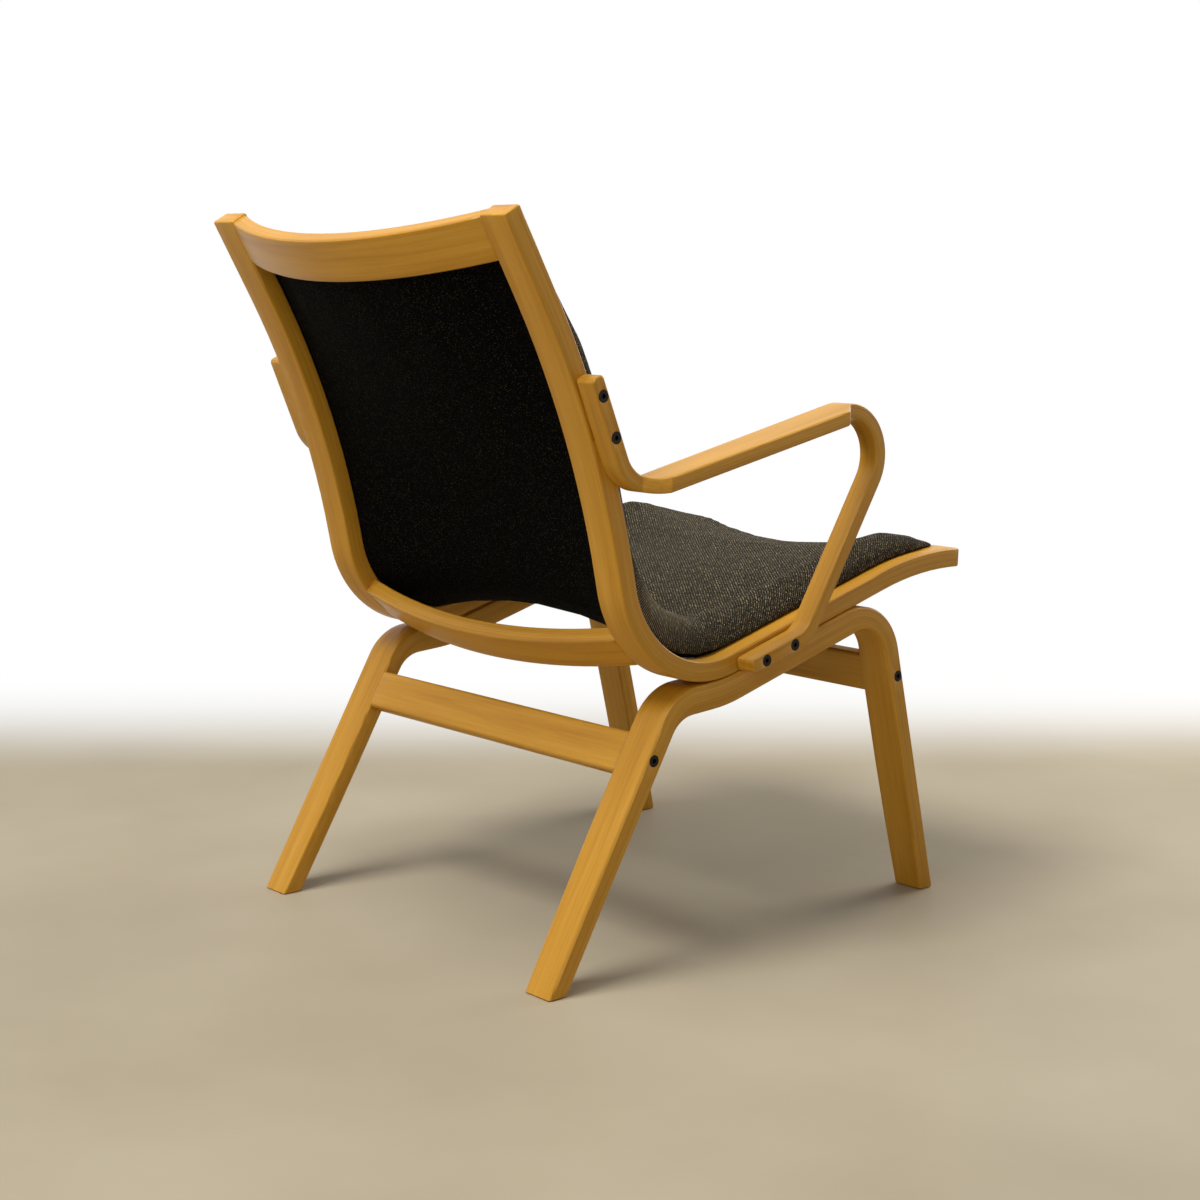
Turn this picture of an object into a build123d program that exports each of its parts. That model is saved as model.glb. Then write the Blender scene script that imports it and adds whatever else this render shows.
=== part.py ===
from build123d import *
from math import sin, cos, tan, pi, radians, sqrt
import os

# Lounge armchair: bent laminated beech frame with one continuous upholstered seat and back.
# Millimetres. +Z is up, the sitter faces -Y and the sitter's right hand is at -X.
# The origin is on the floor under the middle of the chair.
# Side views are drawn in (Y, Z). A heading is the way a bent board runs there, in degrees:
# 0 is straight down, 90 is straight forward, and 180 is straight up.

# Seat line: the plane where the side rails lie on the leg frames
SEAT_RISE = 15.1
SEAT_HEIGHT = 324.2

# Side rails
RAIL_GAP = 460.0
RAIL_WIDTH = 42.0
RAIL_THICK = 22.5
BEND_Y = 32.7
BEND_RADIUS = 113.7
BEND_TURN = 94.6
LUMBAR_RUN = 10.0
BACK_RADIUS = 1041.0
BACK_TURN = 17.8
TOP_RUN = 96.2
SEAT_RUN = 258.0
NOSE_RADIUS = 451.0
NOSE_TURN = 18.1
EDGE_BREAK = 2.0

# Cross rails between the side rails
CREST_HEIGHT = 50.0
CREST_THICK = 19.0
CREST_BOW = 47.0
CREST_DROP = 2.0
LOWER_HEIGHT = 48.0
LOWER_THICK = 20.0
LOWER_BOW = 27.0
LOWER_HEADING = 47.0
LOWER_BACK = 21.8
FRONT_HEIGHT = 48.0
FRONT_THICK = 18.0
FRONT_BOW = 28.0
FRONT_SETBACK = 30.0
FRONT_BACK = 22.0

# Leg frames. The places of the legs are those of their outer lines at seat height.
FRAME_PROUD = 3.0
FRAME_WIDTH = 47.0
LEG_THICK = 22.5
TOP_THICK = 30.0
REAR_LEG_Y = 116.604
REAR_LEAN = 30.7
FRONT_LEG_Y = -236.053
FRONT_LEAN = 13.0
REAR_TOP_RISE = 3.3
KNEE_RADIUS = 180.0
REAR_OUTER_RADIUS = 65.0
REAR_INNER_RADIUS = 36.7
FRONT_OUTER_RADIUS = 73.0
FRONT_INNER_RADIUS = 40.6
LEG_TAPER = 4.8
TAPER_DROP = 119.2
LEG_BREAK = 2.5
FOOT_BEVEL = 2.0

# Stretchers
REAR_STRETCHER_DROP = 104.7
FRONT_STRETCHER_DROP = 70.0
STRETCHER_HEIGHT = 48.5
STRETCHER_THICK = 18.0
STRETCHER_ROUND = 5.5

# Arms
ARM_THICK = 16.4
ARM_WIDTH = 27.0
ARM_TAB_Y = 29.0
ARM_TAB_LIFT = 0.5
ARM_TAB_RUN = 77.3
ARM_TAB_RADIUS = 46.5
STRUT_LEAN = 32.5
STRUT_RUN = 185.6
ARM_FRONT_RADIUS = 61.4
ARM_REST_RISE = 11.9
ARM_REAR_RADIUS = 35.5
ARM_POST_LEAN = 21.7
ARM_END_AT = 188.305
ARM_END_BACK = 1.788
ARM_WIDE_REAR = 19.5
ARM_WIDE_FRONT = 27.5
ARM_REAR_SHOULDER = (21.8, -2.2)
ARM_FRONT_SHOULDER = (17.9, -12.1)
ARM_SHOULDER_ROUND = 5.0
ARM_END_ROUND = 5.0
ARM_BREAK = 1.8

# Upholstery
PAD_LIP = 24.0
PAD_TOP_GAP = 40.0
PAD_FRONT_GAP = 24.0
PAD_SIDE_HEIGHT = 22.0
PAD_ROLL_HEIGHT = 26.0
PAD_SHOULDER_HEIGHT = 20.0
PAD_SIDE_IN = 11.0
PAD_ROLL_IN = 26.0
PAD_SHOULDER_IN = 49.0
PAD_CORE = 21.0
PAD_CORNER = 30.0
PAD_TOP_ROLL = 26.0
PAD_FRONT_ROLL = 62.0
PAD_TOP_EDGE = 0.35
PAD_FRONT_EDGE = 0.1
PAD_FRONT_FORM = 1.5
BEND_LIFT = 30.0
BEND_LIFT_HEADING = 66.0
FRONT_SAG = 25.0
CLOTH_THICK = 2.0
CLOTH_MARGIN = 8.0
LIP_LEAST = 6.0
LAYER_GAP = 0.5
SPAN_SHARE = 0.8
BEND_STATIONS = 5
SEAT_STATIONS = 1
SAG_FACETS = 6
ROLL_FACETS = 3
SIDE_FACETS = 2

# Fasteners
HEAD_RADIUS = 6.6
HEAD_HEIGHT = 4.0
HEAD_CLEAR = 0.3
SOCKET_ACROSS = 5.0
SOCKET_DEPTH = 2.5
BOLT_RADIUS = 3.0
BOLT_CLEAR = 0.3
THREAD_CLEAR = 0.05
ARM_BOLT_END = 21.3
ARM_BOLT_PITCH = 46.5
ARM_BOLT_LENGTH = 38.0
FRAME_BOLT_Y = (-14.0, -125.0)
FRAME_BOLT_SINK = 6.0
FRAME_BOLT_LENGTH = 36.0
STRETCHER_BOLT_LENGTH = 72.0
INSERT_RADIUS = 5.0
INSERT_LENGTH = 16.0
NUT_RADIUS = 5.0
NUT_LENGTH = 16.0
NUT_SLOT = 1.2
NUT_INSET = 23.0
RAIL_DOWEL_RADIUS = 3.0
RAIL_DOWEL_IN_SIDE = 16.0
RAIL_DOWEL_IN_CROSS = 12.0
RAIL_DOWEL_SPREAD = 13.0
RAIL_DOWEL_DEPTH = 13.0
STRETCHER_DOWEL_RADIUS = 4.0
STRETCHER_DOWEL_IN_LEG = 20.0
STRETCHER_DOWEL_IN_BEAM = 16.0
STRETCHER_DOWEL_SPREAD = 14.0
HEAD_FLATS = 16
HIDDEN_FLATS = 6

RAIL_IN = RAIL_GAP / 2
RAIL_OUT = RAIL_IN + RAIL_WIDTH
FRAME_OUT = RAIL_OUT + FRAME_PROUD
FRAME_IN = FRAME_OUT - FRAME_WIDTH
ARM_OUT = RAIL_OUT + ARM_WIDTH
PAD_HALF_WIDTH = RAIL_IN + PAD_LIP
SEAT_HEADING = 90 + SEAT_RISE
TAPER_HEIGHT = SEAT_HEIGHT - TAPER_DROP
REAR_FOOT_Y = REAR_LEG_Y + SEAT_HEIGHT * tan(radians(REAR_LEAN))
FRONT_FOOT_Y = FRONT_LEG_Y - SEAT_HEIGHT * tan(radians(FRONT_LEAN))


# ---------------------------------------------------------------- side-view drawing

def run(heading):
    return Vector(-sin(radians(heading)), -cos(radians(heading)))


def flank(heading):
    """The sitter's side of a run: up over the seat, forward over the back."""
    return Vector(-cos(radians(heading)), sin(radians(heading)))


def step_end(pose, step, share=1.0):
    point, heading = pose
    if isinstance(step, float):
        return point + run(heading) * step * share, heading
    radius, turn = step
    reach = radius if turn > 0 else -radius
    centre = point + flank(heading) * reach
    heading = heading + turn * share
    return centre - flank(heading) * reach, heading


def walk(pose, steps):
    """Edges of straight runs and tangent arcs, a length or a (radius, turn) each, and their end."""
    edges = []
    for step in steps:
        end = step_end(pose, step)
        if isinstance(step, float):
            edges.append(Line(pose[0], end[0]))
        else:
            edges.append(ThreePointArc(pose[0], step_end(pose, step, 0.5)[0], end[0]))
        pose = end
    return edges, pose


def board_face(pose, steps, thick):
    """A bent board seen from the side: its route, and the same route one thickness behind it."""
    behind = [s if isinstance(s, float) else (s[0] + (thick if s[1] > 0 else -thick), s[1]) for s in steps]
    start = (pose[0] - flank(pose[1]) * thick, pose[1])
    front, front_end = walk(pose, steps)
    back, back_end = walk(start, behind)
    ends = [Line(pose[0], start[0]), Line(front_end[0], back_end[0])]
    return make_face(front + back + ends)


def meet(p, heading_p, q, heading_q):
    """Where two straight runs cross."""
    a = run(heading_p)
    b = run(heading_q)
    share = ((q.X - p.X) * b.Y - (q.Y - p.Y) * b.X) / (a.X * b.Y - a.Y * b.X)
    return p + a * share


def across(face, inner, outer):
    """A side-view face made into a board on the sitter's left."""
    return extrude(Plane.YZ.offset(inner) * face, outer - inner)


def both_sides(solids):
    return solids + [mirror(s, about=Plane.YZ) for s in solids]


# ---------------------------------------------------------------- side rails and their stations

def seat_point(y, lift=0.0):
    """A point over the seat line, which the rails' undersides and the leg frames' tops share."""
    base = Vector(y, SEAT_HEIGHT - y * tan(radians(SEAT_RISE)))
    return base + flank(SEAT_HEADING) * lift


def rail_route():
    """The sitter's side of a side rail, from the top of the back to the front of the seat."""
    bend_end = seat_point(BEND_Y, RAIL_THICK)
    up = [(BEND_RADIUS, -BEND_TURN), LUMBAR_RUN, (BACK_RADIUS, BACK_TURN), TOP_RUN]
    top, heading = walk((bend_end, SEAT_HEADING + 180), up)[1]
    down = [TOP_RUN, (BACK_RADIUS, -BACK_TURN), LUMBAR_RUN, (BEND_RADIUS, BEND_TURN)]
    return (top, heading - 180), down + [SEAT_RUN, (NOSE_RADIUS, -NOSE_TURN)]


RAIL_START, RAIL_STEPS = rail_route()


def step_length(step):
    return step if isinstance(step, float) else step[0] * radians(abs(step[1]))


RAIL_LENGTH = sum(step_length(s) for s in RAIL_STEPS)
BEND_STATION = sum(step_length(s) for s in RAIL_STEPS[:3])


def station(distance):
    """The pose on the rail's face at a distance along it from the top."""
    pose = RAIL_START
    for step in RAIL_STEPS:
        length = step_length(step)
        if distance <= length:
            return step_end(pose, step, distance / length)
        pose = step_end(pose, step)
        distance -= length
    return pose


def bend_station(heading):
    return BEND_STATION + BEND_RADIUS * radians(heading - station(BEND_STATION)[1])


def cross_plane(distance):
    """A section plane across the chair: X to the sitter's left, Y out of the rail's face."""
    point, heading = station(distance)
    way = run(heading)
    return Plane(origin=(0, point.X, point.Y), x_dir=(1, 0, 0), z_dir=(0, way.X, way.Y))


def side_rail():
    face = board_face(RAIL_START, RAIL_STEPS, RAIL_THICK)
    board = across(face, RAIL_IN, RAIL_OUT)
    return chamfer(board.edges(), EDGE_BREAK)


# ---------------------------------------------------------------- cross rails

CREST_AT = CREST_DROP + CREST_HEIGHT / 2
LOWER_AT = bend_station(LOWER_HEADING)
FRONT_AT = RAIL_LENGTH - FRONT_SETBACK - FRONT_HEIGHT / 2


def cross_rail(distance, height, thick, bow, back):
    """A bowed board between the side rails. back is how far its rear face lies behind the rail's face."""
    radius = (RAIL_IN ** 2 + bow ** 2) / (2 * bow)
    front_radius = radius - thick
    centre = radius - bow - back
    front = centre - sqrt(front_radius ** 2 - RAIL_IN ** 2)
    outline = [
        ThreePointArc((-RAIL_IN, -back), (0, -back - bow), (RAIL_IN, -back)),
        Line((RAIL_IN, -back), (RAIL_IN, front)),
        ThreePointArc((RAIL_IN, front), (0, thick - back - bow), (-RAIL_IN, front)),
        Line((-RAIL_IN, front), (-RAIL_IN, -back)),
    ]
    board = extrude(make_face(outline), height / 2, both=True)
    long_edges = board.edges().filter_by(GeomType.CIRCLE)
    return cross_plane(distance) * chamfer(long_edges, EDGE_BREAK)


def rail_dowels(distance):
    """Two dowels in each end joint of a cross rail."""
    length = RAIL_DOWEL_IN_CROSS + RAIL_DOWEL_IN_SIDE
    pins = []
    for along in (-RAIL_DOWEL_SPREAD, RAIL_DOWEL_SPREAD):
        base = Location((RAIL_IN + RAIL_DOWEL_IN_SIDE, -RAIL_DOWEL_DEPTH, along), (0, 90, 0))
        pins.append(cross_plane(distance) * base * peg(RAIL_DOWEL_RADIUS, length))
    return both_sides(pins)


# ---------------------------------------------------------------- leg frames and stretchers

def frame_outline(depth, rear_radius, knee_radius, front_radius):
    """One outline of a leg frame. depth is (in the legs, in the top) from the outer outline."""
    leg, top = depth
    rear = Vector(REAR_FOOT_Y - leg / cos(radians(REAR_LEAN)), 0)
    front = Vector(FRONT_FOOT_Y + leg / cos(radians(FRONT_LEAN)), 0)
    seat = seat_point(BEND_Y, -top)
    level = knee_start(-top)
    rear_corner = meet(rear, 180 - REAR_LEAN, level, 90 + REAR_TOP_RISE)
    knee = meet(level, 90 + REAR_TOP_RISE, seat, SEAT_HEADING)
    front_corner = meet(seat, SEAT_HEADING, front, FRONT_LEAN)
    radii = [rear_radius, knee_radius, front_radius]
    return rear, front, FilletPolyline(rear, rear_corner, knee, front_corner, front, radius=radii)


def knee_start(lift):
    """Where the level part of the frame's top ends, at a lift over its upper side."""
    end = seat_point(BEND_Y)
    centre = end + flank(SEAT_HEADING) * KNEE_RADIUS
    return centre - flank(90 + REAR_TOP_RISE) * (KNEE_RADIUS - lift)


def leg_frame():
    """A bent frame. Below the taper's start its inner side curves gently away to thinner feet."""
    outer = frame_outline((0, 0), REAR_OUTER_RADIUS, KNEE_RADIUS, FRONT_OUTER_RADIUS)
    inner = frame_outline((LEG_THICK, TOP_THICK), REAR_INNER_RADIUS, KNEE_RADIUS + TOP_THICK,
                          FRONT_INNER_RADIUS)
    feet = [Line(outer[0], inner[0]), Line(outer[1], inner[1])]
    frame = across(make_face(outer[2].edges() + inner[2].edges() + feet), FRAME_IN, FRAME_OUT)
    taper = TangentArc((FRAME_IN, TAPER_HEIGHT), (FRAME_IN + LEG_TAPER, 0), tangent=(0, -1))
    wedge = make_face([taper, Line(taper @ 1, (FRAME_IN, 0)), Line((FRAME_IN, 0), taper @ 0)])
    frame -= extrude(Plane.XZ * wedge, 2 * REAR_FOOT_Y, both=True)
    soles = frame.faces().filter_by(lambda f: f.center().Z < 0.01)
    sole_edges = [e for sole in soles for e in sole.edges()]
    kinks = [e for e in frame.edges() if abs(e.tangent_at(0.5).X) > 0.9 or e.bounding_box().size.Y < 1]
    kinks += [e for e in frame.edges() if abs(e.center().Z - TAPER_HEIGHT) < 0.1]
    long_edges = [e for e in frame.edges() if e not in kinks and e not in sole_edges]
    frame = chamfer(long_edges, LEG_BREAK)
    soles = frame.faces().filter_by(lambda f: f.center().Z < 0.01)
    return chamfer([e for sole in soles for e in sole.edges()], FOOT_BEVEL)


def leg_line(z, depth, rear):
    """A point in a leg at a height on its outer line, set in by depth."""
    if rear:
        base = Vector(REAR_FOOT_Y - z * tan(radians(REAR_LEAN)), z)
        return base - flank(180 - REAR_LEAN) * depth
    base = Vector(FRONT_FOOT_Y + z * tan(radians(FRONT_LEAN)), z)
    return base - flank(FRONT_LEAN) * depth


def leg_direction(rear):
    """The way up a leg, as a heading."""
    return 180 - REAR_LEAN if rear else 180 + FRONT_LEAN


def beam_centre(rear):
    """Middle of a stretcher's section. It is flush with the outer face of the legs and leans with them."""
    if rear:
        foot = leg_line(SEAT_HEIGHT - REAR_STRETCHER_DROP, STRETCHER_THICK / 2, True)
    else:
        foot = leg_line(SEAT_HEIGHT - FRONT_STRETCHER_DROP, STRETCHER_THICK / 2, False)
    return foot + run(leg_direction(rear)) * (STRETCHER_HEIGHT / 2)


def beam_plane(rear):
    """X to the sitter's left, Z up along the leg, at the middle of the stretcher."""
    point = beam_centre(rear)
    way = run(leg_direction(rear))
    return Plane(origin=(0, point.X, point.Y), x_dir=(1, 0, 0), z_dir=(0, way.X, way.Y))


def stretcher(rear):
    beam = Box(2 * FRAME_IN, STRETCHER_THICK, STRETCHER_HEIGHT)
    return beam_plane(rear) * fillet(beam.edges().filter_by(Axis.X), STRETCHER_ROUND)


def stretcher_dowels(rear):
    length = STRETCHER_DOWEL_IN_BEAM + STRETCHER_DOWEL_IN_LEG
    pins = []
    for along in (-STRETCHER_DOWEL_SPREAD, STRETCHER_DOWEL_SPREAD):
        base = Location((FRAME_IN + STRETCHER_DOWEL_IN_LEG, 0, along), (0, 90, 0))
        pins.append(beam_plane(rear) * base * peg(STRETCHER_DOWEL_RADIUS, length))
    return both_sides(pins)


def barrel_nut(rear):
    """A cross-drilled pin in the stretcher. Its slotted end looks out of the lower edge."""
    pin = Pos(0, 0, NUT_LENGTH / 2) * peg(NUT_RADIUS, NUT_LENGTH)
    pin -= Pos(0, 0, -NUT_LENGTH / 2) * Box(2 * NUT_RADIUS, NUT_SLOT, 2 * NUT_SLOT)
    pin = beam_plane(rear) * Pos(FRAME_IN - NUT_INSET, 0, 0) * pin
    return pin - sideways(FRAME_IN, beam_centre(rear)) * peg(BOLT_RADIUS + THREAD_CLEAR, 2 * NUT_INSET)


def nut_bore(rear):
    """The bore for a barrel nut, from the stretcher's lower edge."""
    depth = STRETCHER_HEIGHT / 2 + NUT_LENGTH / 2
    return beam_plane(rear) * Pos(FRAME_IN - NUT_INSET, 0, NUT_LENGTH / 2) * peg(NUT_RADIUS, depth)


# ---------------------------------------------------------------- bolts and inserts

def peg(radius, length):
    """A rod that never shows, drawn with flats: from 0 along -Z."""
    return extrude(RegularPolygon(radius, HIDDEN_FLATS), -length)


def disc(radius, height):
    """A bolt's head or the hole for it: from 0 along -Z."""
    return extrude(RegularPolygon(radius, HEAD_FLATS), -height)


def bolt(length):
    """A flat socket-head bolt: head from 0 inward along -Z, then the shank."""
    head = disc(HEAD_RADIUS, HEAD_HEIGHT)
    body = head + Pos(0, 0, -HEAD_HEIGHT) * peg(BOLT_RADIUS, length)
    socket = extrude(RegularPolygon(SOCKET_ACROSS / 2, 6, major_radius=False), -SOCKET_DEPTH)
    return body - socket


def bolt_bore(length):
    """The stepped hole that a bolt takes, open at its head."""
    return disc(HEAD_RADIUS + HEAD_CLEAR, HEAD_HEIGHT) + Pos(0, 0, -HEAD_HEIGHT) * peg(BOLT_RADIUS + BOLT_CLEAR, length + 1)


def insert():
    """A threaded sleeve, its mouth at 0 and its body along -Z."""
    return peg(INSERT_RADIUS, INSERT_LENGTH) - peg(BOLT_RADIUS + THREAD_CLEAR, INSERT_LENGTH)


def insert_bore(length):
    """The blind hole for an insert, with room for the bolt's end behind it."""
    return peg(INSERT_RADIUS, INSERT_LENGTH) + peg(BOLT_RADIUS + BOLT_CLEAR, length)


def sideways(x, point):
    """A seat for a bolt or insert that looks out to the sitter's left."""
    return Plane(origin=(x, point.X, point.Y), z_dir=(1, 0, 0))


def upward(y, lift):
    """A seat in the middle of the leg frame's top that looks down, square to the seat line."""
    point = seat_point(y, lift)
    way = flank(SEAT_HEADING)
    return Plane(origin=((RAIL_IN + RAIL_OUT) / 2, point.X, point.Y), x_dir=(1, 0, 0), z_dir=(0, -way.X, -way.Y))


# ---------------------------------------------------------------- arms

ARM_START = (seat_point(ARM_TAB_Y, ARM_TAB_LIFT), SEAT_HEADING)
ARM_RISE = [
    ARM_TAB_RUN,
    (ARM_TAB_RADIUS, 180 - STRUT_LEAN - SEAT_HEADING),
    STRUT_RUN,
    (ARM_FRONT_RADIUS, 90 + STRUT_LEAN + ARM_REST_RISE),
]
ARM_REAR_TURN = ARM_POST_LEAN - 90 - ARM_REST_RISE


def arm_runs():
    """Lengths of the arm rest and of the tab above it, whose end has its place on the stile."""
    rest, heading = walk(ARM_START, ARM_RISE)[1]
    stile, stile_heading = station(ARM_END_AT)
    end = stile - flank(stile_heading) * ARM_END_BACK
    corner = meet(rest, heading, end, heading + ARM_REAR_TURN)
    tangent = ARM_REAR_RADIUS * tan(radians(abs(ARM_REAR_TURN) / 2))
    return (corner - rest).length - tangent, (end - corner).length - tangent


ARM_REST_RUN, ARM_POST_RUN = arm_runs()
ARM_STEPS = ARM_RISE + [ARM_REST_RUN, (ARM_REAR_RADIUS, ARM_REAR_TURN), ARM_POST_RUN]


def arm_outline():
    """Side view of an arm, from the end of its lower tab up the strut and back to the stile."""
    start = ARM_START
    behind = [s if isinstance(s, float) else (s[0] + (-ARM_THICK if s[1] > 0 else ARM_THICK), s[1])
              for s in ARM_STEPS]
    outer, outer_end = walk(start, ARM_STEPS)
    inner, inner_end = walk((start[0] + flank(start[1]) * ARM_THICK, start[1]), behind)
    ends = [Line(start[0], start[0] + flank(start[1]) * ARM_THICK), Line(outer_end[0], inner_end[0])]
    face = make_face(outer + inner + ends)
    tips = [e @ share for e in ends for share in (0, 1)]
    corners = [v for v in face.vertices() if min((Vector(v) - tip).length for tip in tips) < 0.01]
    return fillet(corners, ARM_END_ROUND), outer_end


ARM_FACE, ARM_TOP = arm_outline()
ARM_STRUT_END = walk(ARM_START, ARM_STEPS[:3])[1][0]
ARM_REST_FRONT = walk(ARM_START, ARM_STEPS[:4])[1][0]
ARM_REST_REAR = walk(ARM_START, ARM_STEPS[:5])[1][0]


def arm_bolt_points():
    """Bolt centres in the side view: two in the lower tab and two in the tab on the stile."""
    low = seat_point(ARM_TAB_Y, ARM_TAB_LIFT + ARM_THICK / 2)
    high = ARM_TOP[0] + flank(ARM_TOP[1]) * (ARM_THICK / 2)
    points = []
    for reach in (ARM_BOLT_END, ARM_BOLT_END + ARM_BOLT_PITCH):
        points.append(low + run(SEAT_HEADING) * reach)
        points.append(high - run(ARM_TOP[1]) * reach)
    return points


def arm():
    """A bent strip. Its arm rest widens outward between two shoulders, set out from the rest's ends."""
    rear_far, rear_near = ARM_REAR_SHOULDER
    front_near, front_far = ARM_FRONT_SHOULDER
    past = Vector(ARM_OUT, 2 * REAR_FOOT_Y)
    outer_side = FilletPolyline(
        (past.X, past.Y),
        (ARM_OUT, ARM_REST_REAR.X + rear_far),
        (ARM_OUT + ARM_WIDE_REAR, ARM_REST_REAR.X + rear_near),
        (ARM_OUT + ARM_WIDE_FRONT, ARM_REST_FRONT.X + front_near),
        (ARM_OUT, ARM_REST_FRONT.X + front_far),
        (past.X, -past.Y),
        radius=ARM_SHOULDER_ROUND,
    )
    inner_side = Polyline((past.X, -past.Y), (RAIL_OUT, -past.Y), (RAIL_OUT, past.Y), (past.X, past.Y))
    plan = make_face(outer_side.edges() + inner_side.edges())
    rest = across(ARM_FACE, RAIL_OUT, ARM_OUT + ARM_WIDE_FRONT)
    rest &= extrude(Pos(0, 0, ARM_STRUT_END.Y) * plan, 2 * STRUT_RUN)
    below = Box(2 * ARM_OUT, 4 * REAR_FOOT_Y, ARM_STRUT_END.Y, align=(Align.MIN, Align.CENTER, Align.MIN))
    blank = rest + (across(ARM_FACE, RAIL_OUT, ARM_OUT) & below)
    return chamfer([e for e in blank.edges() if abs(e.tangent_at(0.5).X) < 0.9], ARM_BREAK)


# ---------------------------------------------------------------- upholstery

PAD_FROM = PAD_TOP_GAP
PAD_TO = RAIL_LENGTH - PAD_FRONT_GAP
LIFT_AT = bend_station(BEND_LIFT_HEADING)
TOP_SAG = RAIL_THICK + CREST_BOW - CREST_THICK - LAYER_GAP


def sag(distance):
    """How far the middle of the back cloth lies behind the rails: it is bowed with the crest rail
    at the top and the front rail at the front, and cuts the corner at the bend."""
    if distance < LIFT_AT:
        share = (distance - PAD_FROM) / (LIFT_AT - PAD_FROM)
        return -BEND_LIFT + (TOP_SAG + BEND_LIFT) * (1 + cos(pi * share)) / 2
    share = (PAD_TO - distance) / (PAD_TO - LIFT_AT)
    return -BEND_LIFT + (FRONT_SAG + BEND_LIFT) * (1 + cos(pi * share)) / 2


def rounded(depth, radius):
    """How far a quarter circle has drawn in at a depth from its end: 1 at the end, 0 past the radius."""
    share = min(max(depth / radius, 0.0), 1.0)
    return 1 - sqrt(1 - (1 - share) ** 2)


def end_factor(distance):
    """Share of the full thickness, which rolls off to each end."""
    top = PAD_TOP_EDGE + (1 - PAD_TOP_EDGE) * (1 - rounded(distance - PAD_FROM, PAD_TOP_ROLL))
    share = max(1 - (PAD_TO - distance) / PAD_FRONT_ROLL, 0.0)
    front = 1 - (1 - PAD_FRONT_EDGE) * share ** PAD_FRONT_FORM
    return min(top, front)


def half_width(distance):
    corner = max(rounded(distance - PAD_FROM, PAD_CORNER), rounded(PAD_TO - distance, PAD_CORNER))
    return PAD_HALF_WIDTH - PAD_CORNER * corner


def lip_at(distance):
    """Where the flat lip on a rail ends and the hollow middle begins."""
    return min(RAIL_IN, half_width(distance) - CLOTH_MARGIN - LIP_LEAST)


def faceted(start, over, end, count):
    """The arc through three points as straight lines, its ends included."""
    arc = ThreePointArc(start, over, end)
    return [arc @ (i / count) for i in range(count + 1)]


def cloth_section(distance):
    """Section of the back cloth: flat lips on the rails, an arc between them."""
    wide = half_width(distance) - CLOTH_MARGIN
    low = LAYER_GAP
    high = low + CLOTH_THICK
    middle = -sag(distance)
    lip = lip_at(distance)
    under = faceted((-lip, low), (0, middle), (lip, low), SAG_FACETS)
    over = faceted((lip, high), (0, middle + CLOTH_THICK), (-lip, high), SAG_FACETS)
    outline = Polyline([(-wide, low)] + under + [(wide, low), (wide, high)] + over + [(-wide, high)], close=True)
    return cross_plane(distance) * make_face(outline)


def pad_section(distance):
    """Section of the pad: drawn-in side, side roll, and a middle that follows the cloth."""
    factor = end_factor(distance)
    wide = half_width(distance)
    low = 2 * LAYER_GAP + CLOTH_THICK
    base = -sag(distance) + LAYER_GAP + CLOTH_THICK
    lip = lip_at(distance)
    side = (wide - PAD_SIDE_IN * factor, low + PAD_SIDE_HEIGHT * factor)
    bulge = (wide - PAD_SIDE_IN * factor * 0.17, low + PAD_SIDE_HEIGHT * factor * 0.55)
    roll = (wide - PAD_ROLL_IN, low + PAD_ROLL_HEIGHT * factor)
    shoulder = (wide - PAD_SHOULDER_IN, low + PAD_SHOULDER_HEIGHT * factor)
    under = faceted((-lip, low), (0, base), (lip, low), SAG_FACETS)
    half = faceted((wide, low), bulge, side, SIDE_FACETS)[:-1] + faceted(side, roll, shoulder, ROLL_FACETS)[:-1]
    over = faceted(shoulder, (0, base + PAD_CORE * factor), (-shoulder[0], shoulder[1]), SAG_FACETS)[:-1]
    other_half = [(-x, y) for x, y, _ in [Vector(v) for v in half[1:] + [Vector(*shoulder)]]]
    outline = Polyline([(-wide, low)] + under + half + over + other_half[::-1], close=True)
    return cross_plane(distance) * make_face(outline)


def spread(start, end, count):
    """Stations strictly between two others."""
    return [start + (end - start) * (i + 1) / (count + 1) for i in range(count)]


def pad_stations():
    """Close together where the pad rolls off, and never so far apart that a span cuts into a rail."""
    near = [0.0, 0.12, 0.5]
    top = [PAD_FROM + PAD_CORNER * share for share in near]
    front = [PAD_TO - PAD_FRONT_ROLL * share for share in reversed(near)]
    bend = BEND_STATION
    seat = BEND_STATION + BEND_RADIUS * radians(BEND_TURN)
    nose = seat + SEAT_RUN
    back_part = spread(top[-1], bend, spans(bend - top[-1], BACK_RADIUS)) + [bend]
    bend_part = spread(bend, seat, BEND_STATIONS) + [seat]
    seat_part = spread(seat, nose, SEAT_STATIONS) + [nose]
    nose_part = spread(nose, front[0], spans(front[0] - nose, NOSE_RADIUS))
    return top + back_part + bend_part + seat_part + nose_part + front


def spans(length, radius):
    """Stations between the ends of a run that bulges forward, for a fall short of the layers' gap."""
    longest = sqrt(8 * radius * LAYER_GAP * SPAN_SHARE)
    return int(length / longest)


def back_cloth():
    ends = (PAD_FROM + CLOTH_MARGIN, PAD_TO - CLOTH_MARGIN)
    between = [d for d in pad_stations() if ends[0] < d < ends[1]]
    return loft([cloth_section(d) for d in [ends[0]] + between + [ends[1]]], ruled=True)


def pad():
    return loft([pad_section(d) for d in pad_stations()], ruled=True)


# ---------------------------------------------------------------- assembly

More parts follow.
